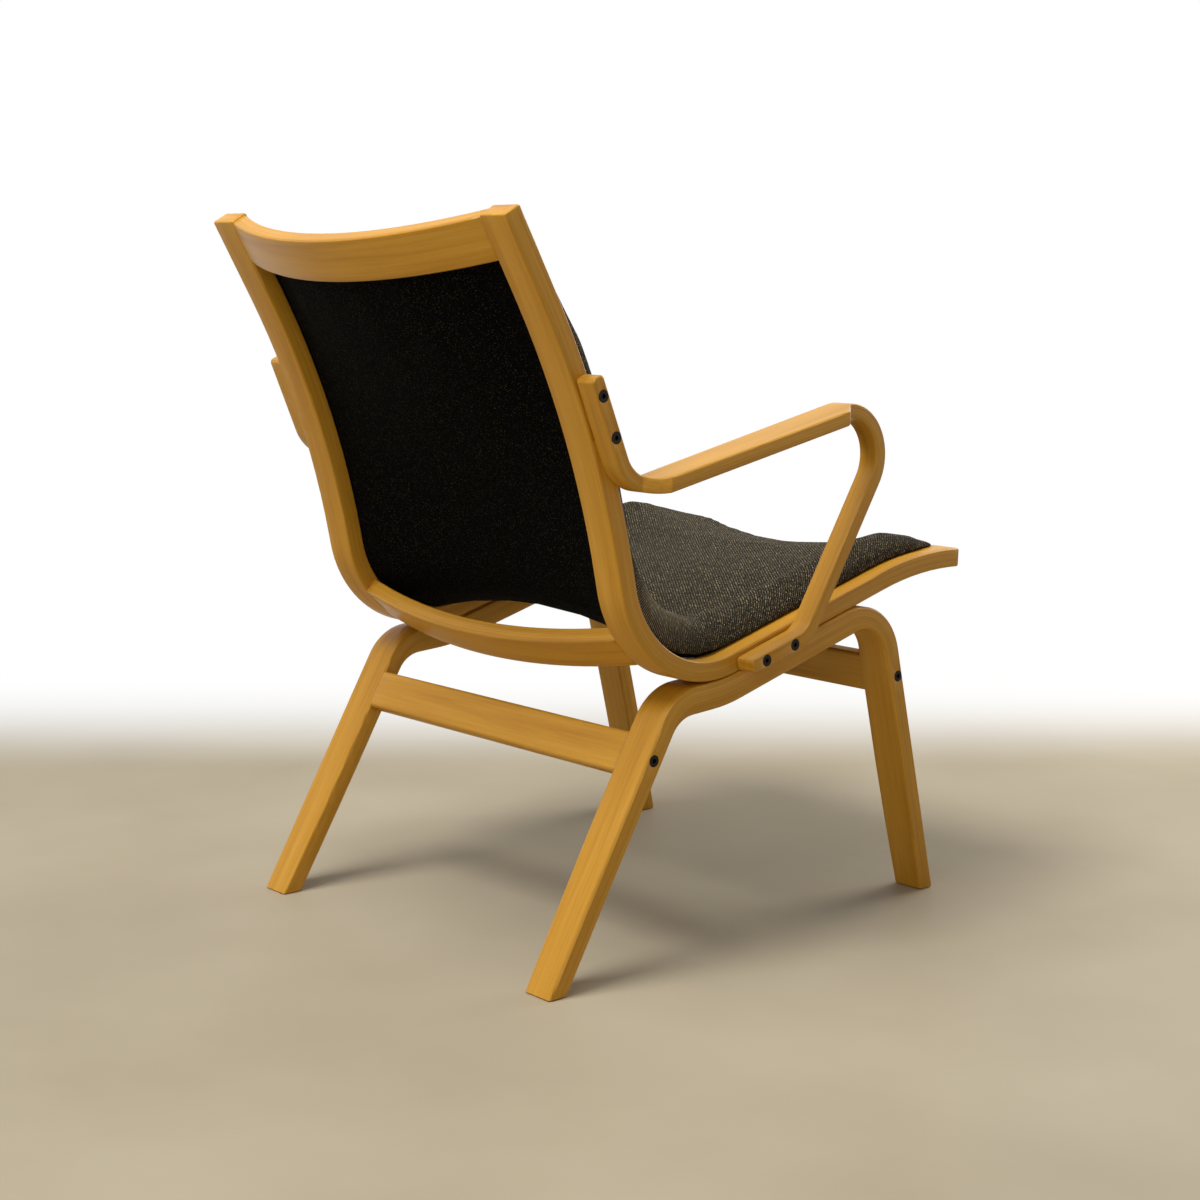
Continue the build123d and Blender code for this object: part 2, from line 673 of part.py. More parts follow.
def build():
    left_rail = side_rail()
    crest = cross_rail(CREST_AT, CREST_HEIGHT, CREST_THICK, CREST_BOW, RAIL_THICK)
    lower = cross_rail(LOWER_AT, LOWER_HEIGHT, LOWER_THICK, LOWER_BOW, LOWER_BACK)
    front = cross_rail(FRONT_AT, FRONT_HEIGHT, FRONT_THICK, FRONT_BOW, FRONT_BACK)
    frame = leg_frame()
    rear_beam = stretcher(True)
    front_beam = stretcher(False)
    left_arm = arm()

    arm_seats = [sideways(ARM_OUT, p) for p in arm_bolt_points()]
    arm_bolts = [s * bolt(ARM_BOLT_LENGTH) for s in arm_seats]
    arm_inserts = [sideways(RAIL_OUT, p) * insert() for p in arm_bolt_points()]
    for p in arm_bolt_points():
        left_arm -= sideways(ARM_OUT, p) * bolt_bore(ARM_BOLT_LENGTH)
        left_rail -= sideways(RAIL_OUT, p) * insert_bore(ARM_BOLT_LENGTH - ARM_WIDTH + HEAD_HEIGHT + 2)

    head_lift = FRAME_BOLT_SINK - TOP_THICK
    frame_bolts = [upward(y, head_lift) * bolt(FRAME_BOLT_LENGTH) for y in FRAME_BOLT_Y]
    frame_inserts = [upward(y, 0) * insert() for y in FRAME_BOLT_Y]
    for y in FRAME_BOLT_Y:
        sink = Pos(0, 0, 3 * FRAME_BOLT_SINK) * disc(HEAD_RADIUS + HEAD_CLEAR, 3 * FRAME_BOLT_SINK)
        frame -= upward(y, head_lift) * (bolt_bore(FRAME_BOLT_LENGTH) + sink)
        left_rail -= upward(y, 0) * insert_bore(INSERT_LENGTH + 1)

    joint_bolts = []
    nuts = []
    for rear in (True, False):
        seat = sideways(FRAME_OUT, beam_centre(rear))
        joint_bolts.append(seat * bolt(STRETCHER_BOLT_LENGTH))
        nuts.append(barrel_nut(rear))
        frame -= seat * bolt_bore(STRETCHER_BOLT_LENGTH)
    beams = []
    for rear, beam in ((True, rear_beam), (False, front_beam)):
        seat = sideways(FRAME_OUT, beam_centre(rear))
        cuts = both_sides([seat * bolt_bore(STRETCHER_BOLT_LENGTH), nut_bore(rear)])
        pins = stretcher_dowels(rear)
        for cut in cuts + pins:
            beam -= cut
        frame -= pins[0]
        frame -= pins[1]
        beams.append((beam, pins))

    cross = []
    cross_pins = []
    for board, at in ((crest, CREST_AT), (lower, LOWER_AT), (front, FRONT_AT)):
        pins = rail_dowels(at)
        for pin in pins:
            board -= pin
        left_rail -= pins[0]
        left_rail -= pins[1]
        cross.append(board)
        cross_pins += pins

    cloth = back_cloth()
    cushion = pad()

    return {
        "left_side_rail": [left_rail],
        "right_side_rail": [mirror(left_rail, about=Plane.YZ)],
        "crest_rail": [cross[0]],
        "lower_back_rail": [cross[1]],
        "front_rail": [cross[2]],
        "left_leg_frame": [frame],
        "right_leg_frame": [mirror(frame, about=Plane.YZ)],
        "rear_stretcher": [beams[0][0]],
        "front_stretcher": [beams[1][0]],
        "left_arm": [left_arm],
        "right_arm": [mirror(left_arm, about=Plane.YZ)],
        "back_cloth": [cloth],
        "seat_pad": [cushion],
        "arm_bolts": both_sides(arm_bolts),
        "arm_inserts": both_sides(arm_inserts),
        "frame_bolts": both_sides(frame_bolts),
        "frame_inserts": both_sides(frame_inserts),
        "stretcher_bolts": both_sides(joint_bolts),
        "barrel_nuts": both_sides(nuts),
        "rail_dowels": cross_pins,
        "stretcher_dowels": beams[0][1] + beams[1][1],
    }


def main():
    pieces = {name: Compound([s for part in parts for s in part.solids()]) for name, parts in build().items()}
    box = Compound(list(pieces.values())).bounding_box()
    centred = Location((0, -(box.min.Y + box.max.Y) / 2, 0))
    os.makedirs("parts", exist_ok=True)
    for name, shape in pieces.items():
        export_step(shape.moved(centred), "parts/" + name + ".step")
    print("overall", box.size, "shift", centred.position)


main()
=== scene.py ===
import bpy
import bmesh
import numpy as np
from math import sin, cos, pi, radians
from mathutils import Matrix, Vector
from mathutils.kdtree import KDTree


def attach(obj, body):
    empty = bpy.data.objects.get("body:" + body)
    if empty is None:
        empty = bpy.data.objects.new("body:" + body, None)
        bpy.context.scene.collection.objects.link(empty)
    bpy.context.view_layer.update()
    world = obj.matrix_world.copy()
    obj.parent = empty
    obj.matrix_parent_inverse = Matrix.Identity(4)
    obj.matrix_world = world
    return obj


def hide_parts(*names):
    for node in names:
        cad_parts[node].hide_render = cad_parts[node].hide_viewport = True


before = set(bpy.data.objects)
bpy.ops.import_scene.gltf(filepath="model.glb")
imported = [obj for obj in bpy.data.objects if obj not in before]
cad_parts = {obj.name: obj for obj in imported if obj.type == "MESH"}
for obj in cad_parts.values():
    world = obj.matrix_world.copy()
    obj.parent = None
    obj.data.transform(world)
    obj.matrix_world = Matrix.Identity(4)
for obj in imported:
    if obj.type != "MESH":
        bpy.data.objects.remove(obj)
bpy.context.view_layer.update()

# Lounge armchair of bent laminated beech with one continuous upholstered seat and back.
# Metres. The sitter faces -Y and the sitter's right hand is at -X.


# ---------------------------------------------------------------- leg frames
# Two bent frames, each pressed and glued from beech veneers: rear foot, up over the top
# and down to the front foot in one run. Sanded, edges broken, finished in clear satin lacquer.

VENEER = 0.0033  # thickness of one veneer
SAME_POINT = 0.00002  # corners of a CAD piece that are closer than this are one


def colour(code):
    """A written sRGB colour as the linear one that the shaders take."""
    parts = [int(code[i:i + 2], 16) / 255 for i in (1, 3, 5)]
    return tuple(c / 12.92 if c <= 0.04045 else ((c + 0.055) / 1.055) ** 2.4 for c in parts) + (1.0,)


def add(tree, kind, links=None, **settings):
    """Adds one node. links holds the value or the source of each input, by name or number."""
    made = tree.nodes.new(kind)
    for name, value in settings.items():
        setattr(made, name, value)
    for socket, source in (links or {}).items():
        if isinstance(source, bpy.types.NodeSocket):
            tree.links.new(source, made.inputs[socket])
        else:
            made.inputs[socket].default_value = source
    return made


def new_material(name):
    material = bpy.data.materials.new(name)
    material.use_nodes = True
    material.node_tree.nodes.clear()
    return material, material.node_tree


def shades(ramp, stops):
    """Sets a colour ramp's stops, each a place and a colour."""
    while len(ramp.color_ramp.elements) < len(stops):
        ramp.color_ramp.elements.new(0.5)
    for element, (place, code) in zip(ramp.color_ramp.elements, stops):
        element.position = place
        element.color = colour(code)


def lacquered_beech(name, pale, middle, dark):
    """European beech, honey coloured with age under a clear satin lacquer. The attribute grain
    holds (metres along the grain, metres across it, veneers deep). The eye sees long soft streaks,
    short darker rays, and thin glue lines where the veneers' edges show. Each rate is in cells
    per metre along the grain, per metre across it and per veneer."""
    material, tree = new_material(name)
    grain = add(tree, "ShaderNodeAttribute", attribute_name="grain").outputs["Vector"]
    # streaks 3 to 6 mm wide and 100 to 200 mm long
    streak_rate = (7.0, 210.0, 0.8)
    streak_way = add(tree, "ShaderNodeVectorMath", {0: grain, 1: streak_rate}, operation="MULTIPLY")
    streak = add(tree, "ShaderNodeTexNoise", {
        "Vector": streak_way.outputs[0], "Scale": 1.0, "Detail": 5.0, "Roughness": 0.70, "Distortion": 0.35})
    # broad flames of the plain-sawn face, about 25 mm wide
    flame_rate = (2.2, 38.0, 0.2)
    flame_way = add(tree, "ShaderNodeVectorMath", {0: grain, 1: flame_rate}, operation="MULTIPLY")
    flame = add(tree, "ShaderNodeTexNoise", {
        "Vector": flame_way.outputs[0], "Scale": 1.0, "Detail": 2.0, "Roughness": 0.5, "Distortion": 0.6})
    both = add(tree, "ShaderNodeMath", {0: streak.outputs[0], 1: flame.outputs[0]}, operation="ADD")
    half = add(tree, "ShaderNodeMath", {0: both.outputs[0], 1: 0.5}, operation="MULTIPLY")
    tone = add(tree, "ShaderNodeValToRGB", {0: half.outputs[0]})
    shades(tone, [(0.34, dark), (0.5, middle), (0.66, pale)])
    # rays: dashes 3 mm long and 0.4 mm wide, drawn a little coarser than life so that they show
    ray_rate = (190.0, 1500.0, 3.0)
    ray_way = add(tree, "ShaderNodeVectorMath", {0: grain, 1: ray_rate}, operation="MULTIPLY")
    ray = add(tree, "ShaderNodeTexNoise", {"Vector": ray_way.outputs[0], "Scale": 1.0, "Detail": 1.0})
    ray_mark = add(tree, "ShaderNodeMapRange", {
        "Value": ray.outputs[0], "From Min": 0.60, "From Max": 0.72, "To Min": 0.0, "To Max": 0.10})
    rayed = add(tree, "ShaderNodeMix", {
        "Factor": ray_mark.outputs[0], 6: tone.outputs[0], 7: colour("#83500F")}, data_type="RGBA")
    # veneers: each has its own tone, with a thin brown glue line between two
    part = add(tree, "ShaderNodeSeparateXYZ", {0: grain})
    layer = add(tree, "ShaderNodeMath", {0: part.outputs["Z"], 1: 0.5}, operation="ADD")
    number = add(tree, "ShaderNodeMath", {0: layer.outputs[0]}, operation="FLOOR")
    within = add(tree, "ShaderNodeMath", {0: layer.outputs[0]}, operation="FRACT")
    off_middle = add(tree, "ShaderNodeMath", {0: within.outputs[0], 1: 0.5}, operation="SUBTRACT")
    from_middle = add(tree, "ShaderNodeMath", {0: off_middle.outputs[0]}, operation="ABSOLUTE")
    line = add(tree, "ShaderNodeMapRange", {
        "Value": from_middle.outputs[0], "From Min": 0.38, "From Max": 0.5, "To Min": 0.0, "To Max": 1.0})
    # the glue line fades and comes back in patches about 70 mm long and 30 mm wide
    patch_rate = (14.0, 30.0, 1.0)
    patch_way = add(tree, "ShaderNodeVectorMath", {0: grain, 1: patch_rate}, operation="MULTIPLY")
    patch = add(tree, "ShaderNodeTexNoise", {"Vector": patch_way.outputs[0], "Scale": 1.0, "Detail": 2.0})
    strength = add(tree, "ShaderNodeMapRange", {
        "Value": patch.outputs[0], "From Min": 0.35, "From Max": 0.7, "To Min": 0.12, "To Max": 0.5})
    glue = add(tree, "ShaderNodeMath", {0: line.outputs[0], 1: strength.outputs[0]}, operation="MULTIPLY")
    lined = add(tree, "ShaderNodeMix", {
        "Factor": glue.outputs[0], 6: rayed.outputs[2], 7: colour("#6E3F0C")}, data_type="RGBA")
    lot = add(tree, "ShaderNodeTexWhiteNoise", {"W": number.outputs[0]}, noise_dimensions="1D")
    veneer = add(tree, "ShaderNodeMapRange", {"Value": lot.outputs["Value"], "To Min": 0.95, "To Max": 1.05})
    toned = add(tree, "ShaderNodeVectorMath", {
        0: lined.outputs[2], "Scale": veneer.outputs[0]}, operation="SCALE")
    # the lacquer is thin, so the streaks still show in its gloss and as a faint relief
    rough = add(tree, "ShaderNodeMapRange", {
        "Value": streak.outputs[0], "From Min": 0.3, "From Max": 0.7, "To Min": 0.40, "To Max": 0.52})
    lift = add(tree, "ShaderNodeBump", {"Height": streak.outputs[0], "Strength": 0.12, "Distance": 0.0004})
    shader = add(tree, "ShaderNodeBsdfPrincipled", {
        "Base Color": toned.outputs[0], "Roughness": rough.outputs[0], "IOR": 1.5,
        "Specular IOR Level": 0.25, "Normal": lift.outputs[0],
        "Coat Weight": 0.15, "Coat Roughness": 0.18, "Coat IOR": 1.5})
    add(tree, "ShaderNodeOutputMaterial", {0: shader.outputs[0]})
    return material


def way_of(heading):
    """The way of a heading in the side view (Y, Z): 180 degrees is up, and 90 is to the front."""
    return -sin(radians(heading)), -cos(radians(heading))


def route_points(start, heading, steps):
    """A bent board's line in the side view (Y, Z), a point each millimetre, as rows of
    y, z, way y, way z, side y, side z, length so far. A step is a length or (radius, turn) in mm."""
    rows = []
    point = np.array(start, float)
    gone = 0.0
    for step in steps:
        if isinstance(step, float):
            length, turn = step / 1000, 0.0
        else:
            length, turn = step[0] / 1000 * radians(abs(step[1])), step[1]
        count = max(2, int(length * 1000))
        for i in range(count):
            way = way_of(heading + turn * (i + 0.5) / count)
            rows.append((*point, *way, way[1], -way[0], gone))
            point = point + np.array(way) * (length / count)
            gone += length / count
        heading += turn
    return np.array(rows)


def along_and_deep(route, y, z):
    """Metres along a board and behind its drawn face, for points in the side view."""
    spread = (y[:, None] - route[None, :, 0]) ** 2 + (z[:, None] - route[None, :, 1]) ** 2
    near_y, near_z, way_y, way_z, side_y, side_z, gone = route[np.argmin(spread, axis=1)].T
    dy, dz = y - near_y, z - near_z
    return gone + dy * way_y + dz * way_z, -(dy * side_y + dz * side_z)


def merged(node):
    """The mesh of a CAD piece with its loose triangles joined."""
    mesh = bmesh.new()
    mesh.from_mesh(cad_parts[node].data)
    bmesh.ops.remove_doubles(mesh, verts=mesh.verts, dist=SAME_POINT)
    return mesh


def split_long_edges(mesh, longest):
    """Gives large flat faces points of their own, so that the grain can follow a bend across them."""
    most_rounds = 7
    for _ in range(most_rounds):
        long_edges = [e for e in mesh.edges if e.calc_length() > longest]
        if not long_edges:
            break
        bmesh.ops.subdivide_edges(mesh, edges=long_edges, cuts=1)
        bmesh.ops.triangulate(mesh, faces=[f for f in mesh.faces if len(f.verts) > 4])


def object_from(mesh, name):
    """Turns a bmesh into an object of the scene."""
    data = bpy.data.meshes.new(name)
    mesh.to_mesh(data)
    mesh.free()
    piece = bpy.data.objects.new(name, data)
    bpy.context.scene.collection.objects.link(piece)
    return piece


def points_of(piece):
    return np.array([v.co for v in piece.data.vertices], float)


def store_vector(piece, name, columns):
    """Stores three numbers at each point of a piece, for its material to read."""
    values = np.stack(columns, axis=1).astype(np.float32)
    piece.data.attributes.new(name, "FLOAT_VECTOR", "POINT").data.foreach_set("vector", values.ravel())


def dressed(name, node, material, grain, longest=0.02):
    """A finished copy of a CAD piece: faces joined, edges eased in the shading, and the grain
    worked out at each point by the function grain(x, y, z)."""
    mesh = merged(node)
    bmesh.ops.dissolve_limit(mesh, angle_limit=radians(0.4), verts=mesh.verts, edges=mesh.edges)
    bmesh.ops.triangulate(mesh, faces=mesh.faces)
    split_long_edges(mesh, longest)
    piece = object_from(mesh, name)
    store_vector(piece, "grain", grain(*points_of(piece).T))
    piece.data.shade_smooth()
    piece.data.set_sharp_from_angle(angle=radians(55))
    piece.data.materials.append(material)
    even = piece.modifiers.new("even_normals", "WEIGHTED_NORMAL")
    even.weight = 60
    even.keep_sharp = True
    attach(piece, "root")
    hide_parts(node)
    return piece


beech = lacquered_beech("lacquered_beech", pale="#D29C3A", middle="#C79029", dark="#B67E1C")

# rear leg, rear bend, the top with its slow arc, front bend, front leg
leg_route = route_points((0.28801, 0.0), 149.3,
                         [321.44, (65.0, -56.0), 23.65, (180.0, 11.8), 188.3, (73.0, -92.1), 318.54])


def leg_grain(x, y, z):
    along, deep = along_and_deep(leg_route, y, z)
    return along, x, deep / VENEER


for side in ("left", "right"):
    dressed(side + "_leg_frame_wood", side + "_leg_frame", beech, leg_grain)


# ---------------------------------------------------------------- stretchers
# Two straight rails of solid beech between the leg frames, flush with the legs' outer faces.
# They are dowelled, and pulled tight by a bolt into a barrel nut at each end.

def beam_grain(middle, heading, shift):
    """Grain of a straight solid beam: along it, up its face, and a slow drift of tone in place
    of veneers. The shift gives each piece its own part of the pattern, here and below."""
    way = way_of(heading)
    drift = 4

    def grain(x, y, z):
        up = (y - middle[0]) * way[0] + (z - middle[1]) * way[1]
        return x + shift, up, up * drift

    return grain


for node, middle, heading, shift in (
        ("rear_stretcher", (0.13756, 0.23576), 149.3, 0.31),
        ("front_stretcher", (-0.25908, 0.2758), 193.0, 2.17)):
    dressed(node + "_wood", node, beech, beam_grain(middle, heading, shift), longest=0.05)


# ---------------------------------------------------------------- side rails
# One bent laminated board a side makes the stile of the back and the rail of the seat.
# It lies on the leg frame and is bolted to it from below.

RAIL_VENEER = 0.0015  # its veneers are thinner than those of the other boards

# straight top of the back, its long arc, the bend, the seat, and the slow roll over at the front
rail_route = route_points((0.31331, 0.82451), 28.3,
                          [96.2, (1041.0, -17.8), 10.0, (113.7, 94.6), 258.0, (451.0, -18.1)])


def rail_grain(x, y, z):
    shift_along, shift_across = 3.1, 0.4
    along, deep = along_and_deep(rail_route, y, z)
    return along + shift_along, x + shift_across, deep / RAIL_VENEER


for side in ("left", "right"):
    dressed(side + "_side_rail_wood", side + "_side_rail", beech, rail_grain)


# ---------------------------------------------------------------- cross rails
# Three bowed laminated boards between the side rails: the crest rail at the top of the back,
# the rail under the small of the back, and the one under the front of the seat. All are dowelled.

HALF_GAP = 0.230  # half the width between the side rails


def bowed_grain(at, heading, back, bow, shift):
    """Grain of a bowed board: along it, up its face, and veneers deep from its rear face."""
    radius = (HALF_GAP ** 2 + bow ** 2) / (2 * bow)
    centre = radius - bow - back
    way = way_of(heading)
    out = (way[1], -way[0])

    def grain(x, y, z):
        rise = (y - at[0]) * out[0] + (z - at[1]) * out[1]
        up = (y - at[0]) * way[0] + (z - at[1]) * way[1]
        deep = radius - np.sqrt(x ** 2 + (rise - centre) ** 2)
        return x + shift, up, deep / VENEER

    return grain


for node, at, heading, back, bow, shift in (
        ("crest_rail", (0.30051, 0.80073), 28.3, 0.0225, 0.047, 5.3),
        ("lower_back_rail", (0.12464, 0.36372), 47.0, 0.0218, 0.027, 6.6),
        ("front_rail", (-0.31874, 0.41886), 93.86, 0.022, 0.028, 7.9)):
    dressed(node + "_wood", node, beech, bowed_grain(at, heading, back, bow, shift))


# ---------------------------------------------------------------- arms
# A narrow bent laminated board on each side: bolted to the seat rail, up the strut, back along
# the arm rest, which is widened outward, and up to its tab on the stile.

# lower tab, bend, strut, front bend, arm rest, rear bend, upper tab
arm_route = route_points((0.00804, 0.31686), 105.1,
                         [77.3, (46.5, 42.4), 185.6, (61.4, 134.4), 289.3, (35.5, -80.2), 94.4])


def arm_grain(x, y, z):
    shift = 9.7
    along, deep = along_and_deep(arm_route, y, z)
    return along + shift, x, -deep / VENEER


for side in ("left", "right"):
    dressed(side + "_arm_wood", side + "_arm", beech, arm_grain)


# ---------------------------------------------------------------- bolts, sleeves, nuts and dowels
# Flat socket-head furniture bolts of blackened steel, threaded into zinc-plated sleeves and
# barrel nuts that sit in the wood, and plain beech dowels. Only the black heads show.

def blackened_steel():
    """Steel with a thin oiled oxide skin: near black, with a soft dull glint and 1 mm specks."""
    material, tree = new_material("blackened_steel")
    spot = add(tree, "ShaderNodeTexCoord").outputs["Object"]
    speck = add(tree, "ShaderNodeTexNoise", {"Vector": spot, "Scale": 900.0, "Detail": 3.0})
    rough = add(tree, "ShaderNodeMapRange", {
        "Value": speck.outputs[0], "From Min": 0.3, "From Max": 0.7, "To Min": 0.3, "To Max": 0.48})
    tone = add(tree, "ShaderNodeValToRGB", {0: speck.outputs[0]})
    shades(tone, [(0.35, "#120D08"), (0.65, "#221910")])
    shader = add(tree, "ShaderNodeBsdfPrincipled", {
        "Base Color": tone.outputs[0], "Metallic": 0.75, "Roughness": rough.outputs[0]})
    add(tree, "ShaderNodeOutputMaterial", {0: shader.outputs[0]})
    return material


def zinc_plate():
    """Bright zinc plating, slightly clouded every 2 or 3 mm."""
    material, tree = new_material("zinc_plate")
    spot = add(tree, "ShaderNodeTexCoord").outputs["Object"]
    cloud = add(tree, "ShaderNodeTexNoise", {"Vector": spot, "Scale": 400.0, "Detail": 2.0})
    tone = add(tree, "ShaderNodeValToRGB", {0: cloud.outputs[0]})
    shades(tone, [(0.3, "#8E9093"), (0.7, "#B4B6B8")])
    shader = add(tree, "ShaderNodeBsdfPrincipled", {
        "Base Color": tone.outputs[0], "Metallic": 1.0, "Roughness": 0.38})
    add(tree, "ShaderNodeOutputMaterial", {0: shader.outputs[0]})
    return material


def raw_beech():
    """Planed beech with no finish, pale and dry, with streaks 1.5 mm wide along x."""
    material, tree = new_material("raw_beech")
    spot = add(tree, "ShaderNodeTexCoord").outputs["Object"]
    streak_rate = (30.0, 700.0, 700.0)
    way = add(tree, "ShaderNodeVectorMath", {0: spot, 1: streak_rate}, operation="MULTIPLY")
    streak = add(tree, "ShaderNodeTexNoise", {"Vector": way.outputs[0], "Scale": 1.0, "Detail": 3.0})
    tone = add(tree, "ShaderNodeValToRGB", {0: streak.outputs[0]})
    shades(tone, [(0.35, "#C9A67A"), (0.65, "#DDBF95")])
    shader = add(tree, "ShaderNodeBsdfPrincipled", {
        "Base Color": tone.outputs[0], "Roughness": 0.7, "IOR": 1.5})
    add(tree, "ShaderNodeOutputMaterial", {0: shader.outputs[0]})
    return material


for finish, names in (
        (blackened_steel(), ("arm_bolts", "frame_bolts", "stretcher_bolts")),
        (zinc_plate(), ("arm_inserts", "frame_inserts", "barrel_nuts")),
        (raw_beech(), ("rail_dowels", "stretcher_dowels"))):
    for name in names:
        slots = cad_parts[name].data.materials
        slots.clear()
        slots.append(finish)


# ---------------------------------------------------------------- seat and back pad
# One foam pad in a sewn wool cover runs from the top of the back to the front of the seat.
# It rests on the side rails, rolls down at its sides, and bellies back between them.

SIDE, GONE = slice(4, 6), 6  # columns of a route: the way out of its face, and its length so far
RAIL_END = rail_route[-1, GONE]
NET, FINE_NET = 0.006, 0.0035  # face sizes of the net that is formed and of the one that is kept
ROLL_TOP, ROLL_SIDE = 0.027, 0.205  # where the cover turns down: its height over the rail, and its |x|


def charcoal_wool():
    """Heavy wool twill in charcoal melange. The attribute weave holds metres along and across
    the cloth. The eye sees fine diagonal wales of pale yarn on a black ground, with a few
    flecks of green and rust, and the pale fuzz of the nap where the light grazes it."""
    material, tree = new_material("charcoal_wool")
    weave = add(tree, "ShaderNodeAttribute", attribute_name="weave").outputs["Vector"]
    # the wales run diagonally, 3 mm apart; each yarn shows as a 1.5 mm dot on its wale
    wales, lean = 330.0, radians(38)
    turned = add(tree, "ShaderNodeMapping", {
        "Vector": weave, "Rotation": (0, 0, lean), "Scale": (wales, wales, 1.0)})
    waver_way = add(tree, "ShaderNodeVectorMath", {0: weave, "Scale": 160.0}, operation="SCALE")
    waver = add(tree, "ShaderNodeTexNoise", {"Vector": waver_way.outputs[0], "Scale": 1.0, "Detail": 2.0})
    part = add(tree, "ShaderNodeSeparateXYZ", {0: turned.outputs[0]})
    shifted = add(tree, "ShaderNodeMath", {
        0: waver.outputs[0], 1: 0.9, 2: part.outputs["X"]}, operation="MULTIPLY_ADD")
    wale_angle = add(tree, "ShaderNodeMath", {0: shifted.outputs[0], 1: 2 * pi}, operation="MULTIPLY")
    wale = add(tree, "ShaderNodeMath", {0: wale_angle.outputs[0]}, operation="SINE")
    yarn_angle = add(tree, "ShaderNodeMath", {0: part.outputs["Y"], 1: 4 * pi}, operation="MULTIPLY")
    yarn = add(tree, "ShaderNodeMath", {0: yarn_angle.outputs[0]}, operation="SINE")
    relief = add(tree, "ShaderNodeMath", {
        0: yarn.outputs[0], 1: 0.5, 2: wale.outputs[0]}, operation="MULTIPLY_ADD")
    # each dot of yarn has a tone of its own
    cell = add(tree, "ShaderNodeTexVoronoi", {
        "Vector": turned.outputs[0], "Scale": 2.0, "Randomness": 0.8}, feature="F1")
    pick = add(tree, "ShaderNodeSeparateColor", {0: cell.outputs["Color"]})
    yarn_tone = add(tree, "ShaderNodeValToRGB", {0: pick.outputs[0]})
    yarn_tone.color_ramp.interpolation = "CONSTANT"
    shades(yarn_tone, [(0.0, "#28231B"), (0.30, "#4E4637"), (0.60, "#7D7259"),
                       (0.85, "#BAAC8A"), (0.955, "#5C7040"), (0.98, "#84523A")])
    # small gathers 3.3 mm apart where the cover turns down over the side of the bend; in the colour their
    # troughs are painted shade and their crests painted light, and in the bump they are relief
    gather_gap = 0.0033
    gather_and_shade = add(tree, "ShaderNodeAttribute", attribute_name="gather_and_shade")
    flat_part = add(tree, "ShaderNodeSeparateXYZ", {0: weave})
    fold_angle = add(tree, "ShaderNodeMath", {
        0: flat_part.outputs["X"], 1: 2 * pi / gather_gap}, operation="MULTIPLY")
    fold = add(tree, "ShaderNodeMath", {0: fold_angle.outputs[0]}, operation="SINE")
    folded = add(tree, "ShaderNodeMix", {
        "Factor": gather_and_shade.outputs["Fac"], 2: relief.outputs[0], 3: fold.outputs[0]}, data_type="FLOAT")
    shown = add(tree, "ShaderNodeMapRange", {
        "Value": folded.outputs[0], "From Min": -0.3, "From Max": 1.0, "To Min": 0.0, "To Max": 1.0})
    ground = add(tree, "ShaderNodeMix", {
        "Factor": shown.outputs[0], 6: colour("#0F0C08"), 7: yarn_tone.outputs[0]}, data_type="RGBA")
    # painted highlight: the cover is painted pale along the ridge of the bend, where the light catches it
    painted_highlight = add(tree, "ShaderNodeAttribute", attribute_name="painted_highlight")
    highlight_share = add(tree, "ShaderNodeMath", {
        0: painted_highlight.outputs["Fac"], 1: shown.outputs[0]}, operation="MULTIPLY")
    highlighted = add(tree, "ShaderNodeMix", {
        "Factor": highlight_share.outputs[0], 6: ground.outputs[2], 7: colour("#D8C9A4")}, data_type="RGBA")
    # fuzz under 1 mm lies over the relief of the yarns
    fuzz_way = add(tree, "ShaderNodeVectorMath", {0: weave, "Scale": 1400.0}, operation="SCALE")
    fuzz = add(tree, "ShaderNodeTexNoise", {"Vector": fuzz_way.outputs[0], "Scale": 1.0, "Detail": 3.0})
    height = add(tree, "ShaderNodeMath", {
        0: fuzz.outputs[0], 1: 1.2, 2: folded.outputs[0]}, operation="MULTIPLY_ADD")
    lift = add(tree, "ShaderNodeBump", {"Height": height.outputs[0], "Strength": 0.8, "Distance": 0.0006})
    shader = add(tree, "ShaderNodeBsdfPrincipled", {
        "Base Color": highlighted.outputs[2], "Roughness": 0.95, "IOR": 1.45,
        "Specular IOR Level": 0.15, "Normal": lift.outputs[0],
        "Sheen Weight": 0.12, "Sheen Roughness": 0.4, "Sheen Tint": colour("#D8CBB0")})
    add(tree, "ShaderNodeOutputMaterial", {0: shader.outputs[0]})
    return material


def weave_on(piece):
    """Stores metres along the cloth and across it, round its rolled sides, at each point."""
    x, y, z = points_of(piece).T
    along, deep = along_and_deep(rail_route, y, z)
    down = np.where(np.abs(x) > ROLL_SIDE, np.clip(ROLL_TOP + deep, 0, None), 0)
    store_vector(piece, "weave", (along, x + np.sign(x) * down, np.zeros(len(x))))


def from_object(piece):
    """The piece's mesh as its modifiers leave it."""
    graph = bpy.context.evaluated_depsgraph_get()
    return bpy.data.meshes.new_from_object(
        piece.evaluated_get(graph), preserve_all_data_layers=True, depsgraph=graph)


def apply_modifiers(piece):
    piece.data = from_object(piece)
    piece.modifiers.clear()


def even_skin(name, size):
    """The pad's surface as an even net of small faces."""
    net = merged("seat_pad")
    bmesh.ops.recalc_face_normals(net, faces=net.faces)
    piece = object_from(net, name)
    remesh = piece.modifiers.new("even_faces", "REMESH")
    remesh.mode = "VOXEL"
    remesh.voxel_size = size
    apply_modifiers(piece)
    return piece


def smooth_out(piece, times, group=""):
    """Evens out a piece's surface, as far as its vertex group says where one is named."""
    even = piece.modifiers.new("even", "SMOOTH")
    even.factor = 0.5
    even.iterations = times
    even.vertex_group = group
    apply_modifiers(piece)


def set_points(piece, points):
    piece.data.vertices.foreach_set("co", points.astype(np.float32).ravel())
    piece.data.update()


